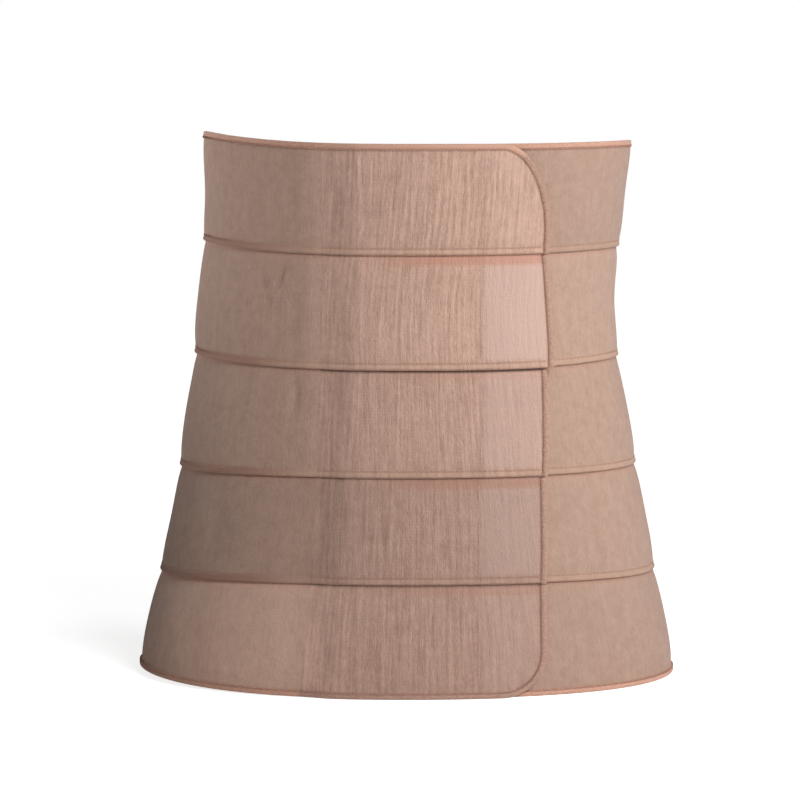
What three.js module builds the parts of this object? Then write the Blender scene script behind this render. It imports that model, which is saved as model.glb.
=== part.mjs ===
// Abdominal binder, closed at the front and standing on its lower edge, in millimetres.
// Five woven elastic bands make a waisted, flared tube, each lapped over the band below. They run from a hidden
// end, round the body, to a join at the front. From the join five front panels lie over the hidden end and hold
// on it with hook tape. +Z is up, and the front faces -Y.

import * as THREE from 'three';

// Driving dimensions
const height = 381; // from the lower edge to the middle of the front's top edge
const waistWidth = 293; // inside the tube, where it is narrowest
const waistDepth = 212;
const squareness = 0.12; // how far the oval swells towards its corners, as a share of the depth
const clothWall = 1.6;
const clearance = 0.3; // between two pieces that touch
const lap = 7; // how far a band covers the one below
const bulge = 1.5; // how far a band swells between its seams
const bindingWall = 0.6;
const bindingWidth = 4.5;
const hookWall = 1.2;
const hookWidth = 40; // from the free end to the tape's inner edge
const hookMargin = 1; // between the edging and the tape
const joinAtTop = 58; // from the middle of the front to the join, at the top
const joinDrift = 15; // how much farther out the join lies at the lower edge
const ramp = 26; // over which the front panels climb onto the hidden end
const tabLift = 2.2; // how far the upper tab's lower corner stands off the lower tab
const upperCorner = { wide: 32, tall: 58 }; // of panel 1
const lowerCorner = { wide: 30, tall: 30 }; // of panel 5
const bandColumns = 50;
const flapColumns = 16;
const hookColumns = 4;
const cornerSteps = 5;

// The tube's section at a share of the height, as shares of the waist's width and depth. Shift is sideways.
const sections = [
  { rise: 0, wide: 1.302, deep: 1.27, shift: 0 },
  { rise: 0.108, wide: 1.254, deep: 1.235, shift: 0.003 },
  { rise: 0.194, wide: 1.204, deep: 1.195, shift: 0.008 },
  { rise: 0.294, wide: 1.152, deep: 1.14, shift: 0.013 },
  { rise: 0.395, wide: 1.106, deep: 1.09, shift: 0.01 },
  { rise: 0.5, wide: 1.064, deep: 1.05, shift: 0.005 },
  { rise: 0.58, wide: 1.03, deep: 1.022, shift: 0.003 },
  { rise: 0.7, wide: 1.002, deep: 1, shift: -0.001 },
  { rise: 0.8, wide: 1.002, deep: 1, shift: 0.022 },
  { rise: 0.9, wide: 1.005, deep: 1, shift: 0.042 },
  { rise: 1, wide: 1.032, deep: 1, shift: 0.056 },
];

// Heights of the top edge, the four seams and the lower edge at the front, and how much higher each one runs at
// the sides and the back, as shares of the height.
const edges = [
  { front: 1, left: 0.025, right: 0.0085, back: -0.012 },
  { front: 0.7985, left: 0.0205, right: 0.0095, back: 0 },
  { front: 0.5905, left: 0.0155, right: 0.0105, back: 0.004 },
  { front: 0.396, left: -0.0035, right: 0.002, back: 0 },
  { front: 0.2047, left: -0.0118, right: -0.008, back: 0 },
  { front: 0, left: 0.0115, right: 0, back: 0 },
];

// How far each front panel reaches to the right at its lower and upper edge, as shares of the waist's width.
const reaches = [
  { lower: 0.336, upper: 0.338 },
  { lower: 0.345, upper: 0.334 },
  { lower: 0.334, upper: 0.334 },
  { lower: 0.33, upper: 0.331 },
  { lower: 0.329, upper: 0.33 },
];

const step = clothWall + clearance; // from one layer of cloth to the next
const flapRise = 2 * clothWall + 3 * clearance; // from the tube's inside to the front panels' inside
const tuck = clearance + bindingWall; // from a binding's outside to the cloth's edge in its fold
const bandCount = reaches.length;

const clothColour = 0xb49180;
const flapColour = 0xbd9886;
const bindingColour = 0xb27f6c;
const hookColour = 0xcbb0a0;

// Rate at which a column of the section table changes at one of its rows.
function slope(column, index) {
  const before = sections[Math.max(index - 1, 0)];
  const after = sections[Math.min(index + 1, sections.length - 1)];
  return (after[column] - before[column]) / (after.rise - before.rise);
}

// A column of the section table at a height, on a smooth curve through its rows.
function sectionAt(column, z) {
  const share = z / height;
  const found = sections.findLastIndex((row) => row.rise <= share);
  const index = THREE.MathUtils.clamp(found, 0, sections.length - 2);
  const from = sections[index];
  const to = sections[index + 1];
  const span = to.rise - from.rise;
  const t = (share - from.rise) / span;
  const ease = t * t * (3 - 2 * t);
  const leaving = t * (1 - t) * (1 - t) * span * slope(column, index);
  const arriving = t * t * (t - 1) * span * slope(column, index + 1);
  return from[column] * (1 - ease) + to[column] * ease + leaving + arriving;
}

// The tube's oval at a height: half its width and depth, and how far its middle lies to the right.
function ovalAt(z) {
  return {
    wide: (waistWidth / 2) * sectionAt('wide', z),
    deep: (waistDepth / 2) * sectionAt('deep', z),
    shift: (waistWidth / 2) * sectionAt('shift', z),
  };
}

// How the oval runs at a turn from the front's middle: the way forward for one radian, to the right and back.
function runAt(turn, z) {
  const oval = ovalAt(z);
  const sine = Math.sin(turn);
  const cosine = Math.cos(turn);
  const swell = 1 + squareness * sine * sine;
  const back = oval.deep * sine * (swell - 2 * squareness * cosine * cosine);
  return new THREE.Vector2(oval.wide * cosine, back);
}

// A point that lies off the tube's inside by a distance, straight out of the oval.
function place(turn, z, off) {
  const oval = ovalAt(z);
  const run = runAt(turn, z);
  const sine = Math.sin(turn);
  const swell = 1 + squareness * sine * sine;
  const x = oval.shift + oval.wide * sine + (off * run.y) / run.length();
  const y = -oval.deep * Math.cos(turn) * swell - (off * run.x) / run.length();
  return new THREE.Vector3(x, y + flapRise / 2, z);
}

// The turn at which the front lies a distance to the right of the middle.
function turnAt(x, z, off) {
  const oval = ovalAt(z);
  return Math.asin((x - oval.shift) / (oval.wide + off));
}

// Height of an edge or seam at a turn: it rises towards the sides and the back as the edge table says.
function edgeHeight(index, turn) {
  const edge = edges[index];
  const side = Math.sin(turn) ** 3;
  const sides = edge.right * Math.max(side, 0) + edge.left * Math.max(-side, 0);
  const behind = edge.back * Math.max(-Math.cos(turn), 0) ** 3;
  return height * (edge.front + sides + behind);
}

// Height of a row of a band at a turn: a share of the way from its lower edge to its upper seam, and a rise.
function rowHeight(number, row, turn) {
  const lower = edgeHeight(number, turn);
  const upper = edgeHeight(number - 1, turn);
  return lower + row.share * (upper - lower) + row.rise;
}

// How far a band's inner face lies off the tube's inside: a layer out where it covers the band below, and a
// little more between its seams.
function layer(number, turn, z) {
  const lower = edgeHeight(number, turn);
  const upper = edgeHeight(number - 1, turn);
  const climb = THREE.MathUtils.clamp((z - lower - lap) / (upper - lower - lap), 0, 1);
  return step * (1 - climb) + bulge * (1 - (2 * climb - 1) ** 4);
}

// Distance of the join from the middle of the front, to the left.
function joinAt(z) {
  return joinAtTop + joinDrift * (1 - z / height) ** 3;
}

// How far a front panel's inner face lies off the tube's inside. The upper tab also lifts at its lower corner.
function flapLayer(number, turn, z) {
  const along = place(turn, z, 0).x + joinAt(z);
  const climb = THREE.MathUtils.smoothstep(along, 0, ramp);
  const lower = edgeHeight(number, turn);
  const upper = edgeHeight(number - 1, turn);
  const share = THREE.MathUtils.clamp((z - lower) / (upper - lower), 0, 1);
  const across = THREE.MathUtils.clamp(along / (joinAtTop + reaches[0].lower * waistWidth), 0, 1);
  const lift = number === 2 ? tabLift * across * (1 - share) ** 2 : 0;
  return layer(number, turn, z) + flapRise * climb + lift;
}

// A closed solid from its points and triangles.
function solidMesh(name, points, triangles, colour) {
  const geometry = new THREE.BufferGeometry().setFromPoints(points);
  geometry.setIndex(triangles);
  geometry.computeVertexNormals();
  const material = new THREE.MeshStandardMaterial({ color: colour, roughness: 0.9, metalness: 0 });
  const mesh = new THREE.Mesh(geometry, material);
  mesh.name = name;
  return mesh;
}

// A sheet of cloth with a wall. At gives the point of a column and row at a depth from the inner face.
function sheetMesh(name, columns, rows, wall, at, colour) {
  const points = [];
  const triangles = [];
  const quad = (a, b, c, d) => triangles.push(a, b, c, a, c, d);
  const index = (i, j, outer) => ((outer ? columns + 1 : 0) + i) * (rows + 1) + j;
  for (const depth of [0, wall]) {
    for (let i = 0; i <= columns; i += 1) {
      for (let j = 0; j <= rows; j += 1) {
        points.push(at(i, j, depth));
      }
    }
  }
  for (let i = 0; i < columns; i += 1) {
    for (let j = 0; j < rows; j += 1) {
      quad(index(i, j, true), index(i + 1, j, true), index(i + 1, j + 1, true), index(i, j + 1, true));
      quad(index(i, j, false), index(i, j + 1, false), index(i + 1, j + 1, false), index(i + 1, j, false));
    }
    quad(index(i, 0, false), index(i + 1, 0, false), index(i + 1, 0, true), index(i, 0, true));
    quad(index(i, rows, true), index(i + 1, rows, true), index(i + 1, rows, false), index(i, rows, false));
  }
  for (let j = 0; j < rows; j += 1) {
    quad(index(0, j, false), index(0, j, true), index(0, j + 1, true), index(0, j + 1, false));
    const [near, far] = [index(columns, j, true), index(columns, j, false)];
    quad(near, far, far + 1, near + 1);
  }
  return solidMesh(name, points, triangles, colour);
}

const middleRows = [{ share: 1 / 3, rise: 0 }, { share: 2 / 3, rise: 0 }];

// Rows of a band, from its lower edge to its upper one. The bands above cover a lap of the ones below, and the
// binding takes the outer edges.
function bandRows(number) {
  const lowest = number === bandCount ? tuck : 0;
  const lower = [{ share: 0, rise: lowest }, { share: 0, rise: lap }];
  const bound = [{ share: 1, rise: -bindingWidth - clearance }, { share: 1, rise: -tuck }];
  const upper = number === 1 ? bound : [{ share: 1, rise: 0 }, { share: 1, rise: lap }];
  return [...lower, ...middleRows, ...upper];
}

// The turn of a band's column in a row: from the hidden end, right round to the join.
function bandTurn(number, row, column) {
  let start = 0;
  let end = 2 * Math.PI;
  for (let pass = 0; pass < 3; pass += 1) {
    const startHeight = rowHeight(number, row, start);
    start = turnAt(ramp - joinAt(startHeight) + clearance, startHeight, 0);
    const endHeight = rowHeight(number, row, end);
    end = 2 * Math.PI + turnAt(-joinAt(endHeight) - clearance, endHeight, 0);
  }
  return THREE.MathUtils.lerp(start, end, column / bandColumns);
}

function makeBand(number) {
  const rows = bandRows(number);
  const at = (i, j, depth) => {
    const turn = bandTurn(number, rows[j], i);
    const z = rowHeight(number, rows[j], turn);
    return place(turn, z, layer(number, turn, z) + depth);
  };
  return sheetMesh(`band_${number}`, bandColumns, rows.length - 1, clothWall, at, clothColour);
}

// Rows round a rounded corner, from its straight end at the side to its end at the upper or lower edge. Lean is
// the direction in which the outline faces there, up or down from the right.
function cornerRows(corner, share, sign, margin) {
  const rows = [];
  const wide = corner.wide - margin;
  const tall = corner.tall - margin;
  for (let i = 0; i <= cornerSteps; i += 1) {
    const angle = (Math.PI / 2) * (i / cornerSteps);
    const rise = -sign * (margin + tall * (1 - Math.sin(angle)));
    const inset = margin + wide * (1 - Math.cos(angle));
    const lean = sign * Math.atan2(Math.sin(angle) / tall, Math.cos(angle) / wide);
    rows.push({ share, rise, inset, lean });
  }
  return rows;
}

// Rows of a front panel from its lower to its upper edge, drawn in by a margin from the panel's outline.
// Lowest and highest are its rows at a seam. The first and last panel have a rounded corner in their place.
function flapRows(number, margin, lowest, highest) {
  const plain = { inset: margin, lean: 0 };
  const lower = number === bandCount ? cornerRows(lowerCorner, 0, -1, margin).reverse() : lowest;
  const upper = number === 1 ? cornerRows(upperCorner, 1, 1, margin) : highest;
  const clear = (row) => number !== 1 && (number !== bandCount || row.share > 0.5);
  return [...lower, ...middleRows.filter(clear), ...upper].map((row) => ({ ...plain, ...row }));
}

// The turn of a front panel's column in a row: from its start to its end.
function flapTurn(number, row, share, startOf) {
  const reach = reaches[number - 1];
  const endX = waistWidth * THREE.MathUtils.lerp(reach.lower, reach.upper, row.share) - row.inset;
  let start = 0;
  let end = 0;
  for (let pass = 0; pass < 3; pass += 1) {
    const startHeight = rowHeight(number, row, start);
    start = turnAt(startOf(startHeight, row), startHeight, 0);
    const endHeight = rowHeight(number, row, end);
    end = turnAt(endX, endHeight, flapRise);
  }
  return THREE.MathUtils.lerp(start, end, share);
}

const clothLower = [{ share: 0, rise: 0 }, { share: 0, rise: lap }];
const clothUpper = [
  { share: 1, rise: -clearance },
  { share: 1, rise: 0, inset: bindingWidth + clearance },
  { share: 1, rise: lap, inset: bindingWidth + clearance },
];
const clothStart = (z) => clearance - joinAt(z);

function makeFlap(number) {
  const rows = flapRows(number, tuck, clothLower, clothUpper);
  const at = (i, j, depth) => {
    const turn = flapTurn(number, rows[j], i / flapColumns, clothStart);
    const z = rowHeight(number, rows[j], turn);
    return place(turn, z, flapLayer(number, turn, z) + depth);
  };
  return sheetMesh(`flap_${number}`, flapColumns, rows.length - 1, clothWall, at, flapColour);
}

// Hook tape on the inside of a front panel, midway between it and the layer under it.
function makeHookTape(number) {
  const margin = bindingWidth + hookMargin;
  const lowest = [{ share: 0, rise: lap + clearance }];
  const highest = [{ share: 1, rise: -clearance }];
  const rows = flapRows(number, margin, lowest, highest);
  const gap = (flapRise - clothWall - hookWall) / 2;
  const reach = reaches[number - 1];
  const endX = (row) => waistWidth * THREE.MathUtils.lerp(reach.lower, reach.upper, row.share);
  const hookStart = (z, row) => endX(row) - hookWidth;
  const at = (i, j, depth) => {
    const turn = flapTurn(number, rows[j], i / hookColumns, hookStart);
    const z = rowHeight(number, rows[j], turn);
    return place(turn, z, flapLayer(number, turn, z) - gap - hookWall + depth);
  };
  return sheetMesh(`hook_tape_${number}`, hookColumns, rows.length - 1, hookWall, at, hookColour);
}

// The fold of a binding, seen along the edge that it wraps: how far in from the cloth's edge, and how far out
// of the cloth's inner face.
const outer = clothWall + tuck;
const fold = [
  new THREE.Vector2(bindingWidth - tuck, outer),
  new THREE.Vector2(-tuck, outer),
  new THREE.Vector2(-tuck, -tuck),
  new THREE.Vector2(bindingWidth - tuck, -tuck),
  new THREE.Vector2(bindingWidth - tuck, -clearance),
  new THREE.Vector2(-clearance, -clearance),
  new THREE.Vector2(-clearance, clothWall + clearance),
  new THREE.Vector2(bindingWidth - tuck, clothWall + clearance),
];

// A binding folded round an edge. Each stop of the edge has its turn, height and lean, and off gives the inner
// face of the cloth there.
function bindingMesh(name, stops, off) {
  const points = [];
  const triangles = [];
  for (const stop of stops) {
    const rate = runAt(stop.turn, stop.z).length();
    for (const corner of fold) {
      const turn = stop.turn - (corner.x * Math.cos(stop.lean)) / rate;
      const z = stop.z - corner.x * Math.sin(stop.lean);
      points.push(place(turn, z, off(turn, z) + corner.y));
    }
  }
  const count = fold.length;
  for (let i = 0; i + 1 < stops.length; i += 1) {
    for (let j = 0; j < count; j += 1) {
      const next = (j + 1) % count;
      const a = i * count + j;
      const b = i * count + next;
      triangles.push(a, a + count, b + count, a, b + count, b);
    }
  }
  const last = (stops.length - 1) * count;
  for (const [a, b, c] of THREE.ShapeUtils.triangulateShape(fold, [])) {
    triangles.push(a, b, c);
    triangles.push(last + a, last + c, last + b);
  }
  return solidMesh(name, points, triangles, bindingColour);
}

// Binding on the top of the first band or the bottom of the last one, from the hidden end round to the join.
function makeBandBinding(name, number) {
  const rows = bandRows(number);
  const row = number === 1 ? rows.at(-1) : rows[0];
  const lean = number === 1 ? Math.PI / 2 : -Math.PI / 2;
  const stops = [];
  for (let i = 0; i <= bandColumns; i += 1) {
    const turn = bandTurn(number, row, i);
    stops.push({ turn, z: rowHeight(number, row, turn), lean });
  }
  const off = (turn, z) => layer(number, turn, z);
  return bindingMesh(name, number === 1 ? stops : stops.reverse(), off);
}

// Edging on a front panel: down its free end, and along the top of the first panel or the bottom of the last.
function makeFlapEdging(number) {
  const edged = (row) => row.inset === tuck || row.lean !== 0;
  const rows = flapRows(number, tuck, clothLower, clothUpper).filter(edged);
  const stopAt = (row, share) => {
    const turn = flapTurn(number, row, share, clothStart);
    return { turn, z: rowHeight(number, row, turn), lean: row.lean };
  };
  const stops = rows.reverse().map((row) => stopAt(row, 1));
  const edge = [];
  for (let i = 1; i <= flapColumns; i += 1) {
    edge.push(1 - i / flapColumns);
  }
  if (number === 1) {
    stops.unshift(...edge.reverse().map((share) => stopAt(rows[0], share)));
  }
  if (number === bandCount) {
    stops.push(...edge.map((share) => stopAt(rows.at(-1), share)));
  }
  return bindingMesh(`flap_edging_${number}`, stops, (turn, z) => flapLayer(number, turn, z));
}

const binder = new THREE.Group();
for (let number = 1; number <= bandCount; number += 1) {
  binder.add(makeBand(number));
  binder.add(makeFlap(number));
  binder.add(makeHookTape(number));
  binder.add(makeFlapEdging(number));
}
binder.add(makeBandBinding('top_binding', 1));
binder.add(makeBandBinding('bottom_binding', bandCount));

export default binder;
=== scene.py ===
# %% [markdown]
# # An abdominal binder in woven elastic
# The real binder is five wide elastic bands, sewn edge over edge into one sheet that is wrapped round the
# body. Its front end is two tabs that close with hook tape. This lesson makes each plain solid of the frame
# again as a fine sheet with ribs, rolled edges and puckers, then sews it with Geometry Nodes.

import bmesh
import bpy
import numpy as np
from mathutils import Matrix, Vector


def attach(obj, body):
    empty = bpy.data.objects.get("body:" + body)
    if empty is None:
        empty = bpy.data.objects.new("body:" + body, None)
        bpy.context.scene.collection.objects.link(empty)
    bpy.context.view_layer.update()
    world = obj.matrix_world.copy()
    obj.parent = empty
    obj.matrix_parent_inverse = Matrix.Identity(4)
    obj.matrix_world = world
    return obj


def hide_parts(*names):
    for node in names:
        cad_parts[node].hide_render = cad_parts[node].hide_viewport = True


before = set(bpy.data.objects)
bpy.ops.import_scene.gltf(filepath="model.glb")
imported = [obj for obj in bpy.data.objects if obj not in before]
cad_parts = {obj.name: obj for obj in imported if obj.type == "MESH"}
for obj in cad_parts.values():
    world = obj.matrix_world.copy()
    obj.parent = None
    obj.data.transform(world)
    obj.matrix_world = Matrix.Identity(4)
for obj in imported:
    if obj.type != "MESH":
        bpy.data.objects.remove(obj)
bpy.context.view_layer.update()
print("nodes in the frame:", sorted(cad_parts))

# %% [markdown]
# ## Sizes
# Every size is a real one in metres, the same as in the frame's own source, so the fine cloth lies on the
# plain solids. SECTIONS holds the tube's oval section at shares of the height, from the bottom up. EDGES
# holds the height of each edge and seam, from the top down: at the front, and what is added at the sides and
# the back. REACHES says how far each front panel reaches to the right.

# %% Driving sizes
HEIGHT = 0.381
WAIST_WIDTH = 0.293
WAIST_DEPTH = 0.212
SQUARENESS = 0.12
CLOTH_WALL = 0.0016
CLEARANCE = 0.0003
LAP = 0.007
BULGE = 0.0015
BINDING_WALL = 0.0006
BINDING_WIDTH = 0.0045
JOIN_AT_TOP = 0.058
JOIN_DRIFT = 0.015
RAMP = 0.026
LIFTED_PANEL = 2
TAB_LIFT = 0.0022
UPPER_CORNER = {"wide": 0.032, "tall": 0.058}
LOWER_CORNER = {"wide": 0.030, "tall": 0.030}

STEP = CLOTH_WALL + CLEARANCE
FLAP_RISE = 2 * CLOTH_WALL + 3 * CLEARANCE
TUCK = CLEARANCE + BINDING_WALL
BAND_COUNT = 5
NUMBERS = range(1, BAND_COUNT + 1)

SECTIONS = {
    "rise": [0, 0.108, 0.194, 0.294, 0.395, 0.5, 0.58, 0.7, 0.8, 0.9, 1],
    "wide": [1.302, 1.254, 1.204, 1.152, 1.106, 1.064, 1.03, 1.002, 1.002, 1.005, 1.032],
    "deep": [1.27, 1.235, 1.195, 1.14, 1.09, 1.05, 1.022, 1, 1, 1, 1],
    "shift": [0, 0.003, 0.008, 0.013, 0.01, 0.005, 0.003, -0.001, 0.022, 0.042, 0.056],
}
EDGES = {
    "front": [1, 0.7985, 0.5905, 0.396, 0.2047, 0],
    "left": [0.025, 0.0205, 0.0155, -0.0035, -0.0118, 0.0115],
    "right": [0.0085, 0.0095, 0.0105, 0.002, -0.008, 0],
    "back": [-0.012, 0, 0.004, 0, 0, 0],
}
REACHES = {"lower": [0.336, 0.345, 0.334, 0.33, 0.329], "upper": [0.338, 0.334, 0.334, 0.331, 0.33]}


# %% [markdown]
# ## The tube as a surface
# A point of the cloth is named by three numbers: its turn round the tube from the front's middle, its
# height, and how far it lies off the tube's inside. One function turns them into a place. NumPy works out a
# whole sheet of points at once, so even a fine mesh is quick to make.

# %% The oval section
def column_at(column, z):
    """A column of the section table at a height, on a smooth curve through its values."""
    at = np.array(SECTIONS["rise"])
    value = np.array(SECTIONS[column], float)
    padded_at = np.concatenate([at[:1], at, at[-1:]])
    padded = np.concatenate([value[:1], value, value[-1:]])
    slope = (padded[2:] - padded[:-2]) / (padded_at[2:] - padded_at[:-2])
    share = np.asarray(z) / HEIGHT
    i = np.clip(np.searchsorted(at, share, side="right") - 1, 0, len(at) - 2)
    span = at[i + 1] - at[i]
    t = (share - at[i]) / span
    ease = t * t * (3 - 2 * t)
    leaving = t * (1 - t) ** 2 * span * slope[i]
    arriving = t * t * (t - 1) * span * slope[i + 1]
    return value[i] * (1 - ease) + value[i + 1] * ease + leaving + arriving


def oval_at(z):
    """Half the width, half the depth and the sideways shift of the tube's inside at a height."""
    wide = WAIST_WIDTH / 2 * column_at("wide", z)
    deep = WAIST_DEPTH / 2 * column_at("deep", z)
    return wide, deep, WAIST_WIDTH / 2 * column_at("shift", z)


def run_at(turn, z):
    """How the oval runs at a turn, to the right and back, for one radian."""
    wide, deep, _ = oval_at(z)
    sine, cosine = np.sin(turn), np.cos(turn)
    swell = 1 + SQUARENESS * sine**2
    return wide * cosine, deep * sine * (swell - 2 * SQUARENESS * cosine**2)


def place(turn, z, off):
    """The point that lies off the tube's inside by a distance, straight out of the oval."""
    wide, deep, shift = oval_at(z)
    right, back = run_at(turn, z)
    length = np.hypot(right, back)
    x = shift + wide * np.sin(turn) + off * back / length
    y = -deep * np.cos(turn) * (1 + SQUARENESS * np.sin(turn) ** 2) - off * right / length
    return np.stack([x, y + FLAP_RISE / 2, z + 0 * x], axis=-1)


def across(turn, z, off=0.0):
    """How far to the right of the middle a point lies."""
    return place(turn, z, off + 0 * turn)[..., 0]


def outward(turn, z):
    """The direction straight out of the oval."""
    right, back = run_at(turn, z)
    length = np.hypot(right, back)
    return np.stack([back / length, -right / length, 0 * length], axis=-1)


def turn_at(x, z, off):
    """The turn at which the front lies a distance to the right of the middle."""
    wide, _, shift = oval_at(z)
    return np.arcsin((x - shift) / (wide + off))


print("inside width and depth at the waist:", [round(2 * float(v), 4) for v in oval_at(0.27)[:2]])


# %% Seams, layers and folds
def edge_height(index, turn):
    """Height of an edge or seam at a turn."""
    front, left, right, back = (EDGES[key][index] for key in ("front", "left", "right", "back"))
    side = np.sin(turn) ** 3
    sides = right * np.maximum(side, 0) + left * np.maximum(-side, 0)
    return HEIGHT * (front + sides + back * np.maximum(-np.cos(turn), 0) ** 3)


def seams(number, turn):
    """Heights of the seams below and above a band."""
    return edge_height(number, turn), edge_height(number - 1, turn)


def smooth(value):
    """Nought below 0, one above 1 and a gentle climb between."""
    value = np.clip(value, 0, 1)
    return value * value * (3 - 2 * value)


def climb_at(number, turn, z, lap=LAP):
    """How far up a band a point lies, from above the lap at its lower seam to its upper seam."""
    lower, upper = seams(number, turn)
    return np.clip((z - lower - lap) / (upper - lower - lap), 0, 1)


def layer(number, turn, z):
    """How far a band's inner face lies off the tube's inside."""
    climb = climb_at(number, turn, z)
    return STEP * (1 - climb) + BULGE * (1 - (2 * climb - 1) ** 4)


def join_at(z):
    """Distance of the join from the middle of the front, to the left."""
    return JOIN_AT_TOP + JOIN_DRIFT * (1 - z / HEIGHT) ** 3


def flap_layer(number, turn, z):
    """How far a front panel's inner face lies off the tube's inside. One panel's free corner stands off."""
    along = across(turn, z) + join_at(z)
    reach = np.clip(along / (JOIN_AT_TOP + REACHES["lower"][0] * WAIST_WIDTH), 0, 1)
    lift = TAB_LIFT * reach * (1 - climb_at(number, turn, z, 0)) ** 2 if number == LIFTED_PANEL else 0
    return layer(number, turn, z) + FLAP_RISE * smooth(along / RAMP) + lift


print("seam heights at the front:", [round(float(edge_height(i, 0.0)), 4) for i in range(6)])


# %% [markdown]
# ## Helpers
# An object shows only when it is linked to the scene. A material is a tree of nodes, whose inputs hold a
# value or a link to another node. Short functions do both.

# %% New objects, nodes and materials
def new_object(name, data):
    """An object with its data, linked to the scene."""
    made = bpy.data.objects.new(name, data)
    bpy.context.scene.collection.objects.link(made)
    return made


def add_node(tree, kind, inputs=None, **settings):
    """A node with its settings and its inputs, which are values or other nodes' sockets."""
    node = tree.nodes.new(kind)
    for key, value in settings.items():
        setattr(node, key, value)
    for key, value in (inputs or {}).items():
        if isinstance(value, bpy.types.NodeSocket):
            tree.links.new(value, node.inputs[key])
        else:
            node.inputs[key].default_value = value
    return node


def new_material(name, inputs):
    """A material and its shader, with values for the shader's inputs."""
    material = bpy.data.materials.new(name)
    material.use_nodes = True
    shader = material.node_tree.nodes["Principled BSDF"]
    for key, value in inputs.items():
        shader.inputs[key].default_value = value
    return material, shader


# %% Calculations with nodes
def calculate(tree, operation, *values):
    """The socket of a calculation on one or two numbers."""
    return add_node(tree, "ShaderNodeMath", dict(enumerate(values)), operation=operation).outputs[0]


def sum_of(tree, a, b):
    return calculate(tree, "ADD", a, b)


def times(tree, a, b):
    return calculate(tree, "MULTIPLY", a, b)


def scaled(tree, vector, scale):
    """The socket of a vector or colour times a number."""
    inputs = {0: vector, "Scale": scale}
    return add_node(tree, "ShaderNodeVectorMath", inputs, operation="SCALE").outputs[0]


def mix_colour(tree, share, a, b):
    """The socket of two colours mixed by a share."""
    return add_node(tree, "ShaderNodeMix", {0: share, 6: a, 7: b}, data_type="RGBA").outputs[2]


def spread_out(tree, value, low, high):
    """A value stretched so that low becomes 0 and high becomes 1."""
    inputs = {"Value": value, "From Min": low, "From Max": high}
    return add_node(tree, "ShaderNodeMapRange", inputs).outputs["Result"]


# %% [markdown]
# ## Camera, light and floor
# The photograph is a studio shot from about eye level with the top edge. The camera stands as far off as its
# perspective tells: the seams dip more and more towards the bottom. A high soft light near the front draws a
# shadow under each seam, and one from the right shades the tube round. A weak, narrow one at the left, a
# little behind, brightens the upper left edge.

# %% Camera
CAMERA_PLACE = (-0.00434, -2.35, 0.37496)
CAMERA_PITCH_DOWN = 4.35
LENS_MM = 146.21

camera = new_object("camera", bpy.data.cameras.new("camera"))
camera.data.lens = LENS_MM
camera.data.sensor_width = 36
camera.location = CAMERA_PLACE
camera.rotation_euler = (np.radians(90 - CAMERA_PITCH_DOWN), 0, 0)
bpy.context.scene.camera = camera
print("camera stands off", -CAMERA_PLACE[1], "m")


# %% Lights
def soft_light(name, azimuth, distance, height, size, power, aim=(0, 0, 0.2), spread=180):
    """A square area light that faces a point. Its azimuth is to the right of the front, in degrees."""
    light = new_object(name, bpy.data.lights.new(name, "AREA"))
    light.data.size = size
    light.data.energy = power
    light.data.spread = np.radians(spread)
    angle = np.radians(azimuth)
    light.location = (distance * np.sin(angle), -distance * np.cos(angle), height)
    light.rotation_euler = (Vector(aim) - light.location).to_track_quat("-Z", "Y").to_euler()


soft_light("front_light", azimuth=26, distance=1.9, height=1.5, size=0.8, power=27)
soft_light("side_light", azimuth=75, distance=1.9, height=0.95, size=0.8, power=17)
soft_light(
    "rim_light", azimuth=-108, distance=1.6, height=0.45, size=0.4, power=0.4, aim=(0, 0, 0.40), spread=20
)

# %% [markdown]
# The photograph's floor is as white as its background, with a faint shadow under the tube. The floor glows
# almost only for the camera: less where the lights already brighten it, and more far away, where they don't.

# %% Sky and floor
FLOOR_SIZE = 30.0
FLOOR_TONE = (0.93, 0.93, 0.93, 1)
WHITE = (1, 1, 1, 1)
NEAR, NEAR_GLOW = 0.3, 0.82
FAR, FAR_GLOW = 1.8, 0.99
SKY_LIGHT = 0.05
FLOOR_LIGHT = 0.05


def bright_to_camera(tree, seen, cast):
    """A strength that the camera sees as one value, while the light that it casts has another."""
    rays = add_node(tree, "ShaderNodeLightPath").outputs["Is Camera Ray"]
    inputs = {"Value": rays, "To Min": cast, "To Max": seen}
    return add_node(tree, "ShaderNodeMapRange", inputs).outputs["Result"]


sky = bpy.data.worlds.new("studio_sky")
sky.use_nodes = True
bpy.context.scene.world = sky
background = sky.node_tree.nodes["Background"]
background.inputs["Color"].default_value = WHITE
sky.node_tree.links.new(bright_to_camera(sky.node_tree, 1.0, SKY_LIGHT), background.inputs["Strength"])

bpy.ops.mesh.primitive_plane_add(size=FLOOR_SIZE, location=(0, 0, 0))
floor = bpy.context.object
floor.name = "floor"
pale, shader = new_material(
    "pale_floor",
    {"Base Color": FLOOR_TONE, "Roughness": 0.9, "Specular IOR Level": 0.1, "Emission Color": WHITE},
)
tree = pale.node_tree
spot = add_node(tree, "ShaderNodeTexCoord").outputs["Object"]
away = add_node(tree, "ShaderNodeVectorMath", {0: spot}, operation="LENGTH").outputs["Value"]
inputs = {"Value": away, "From Min": NEAR, "From Max": FAR, "To Min": NEAR_GLOW, "To Max": FAR_GLOW}
glow = add_node(tree, "ShaderNodeMapRange", inputs).outputs["Result"]
tree.links.new(bright_to_camera(tree, glow, FLOOR_LIGHT), shader.inputs["Emission Strength"])
floor.data.materials.append(pale)
bpy.context.scene.view_settings.view_transform = "Standard"

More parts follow.
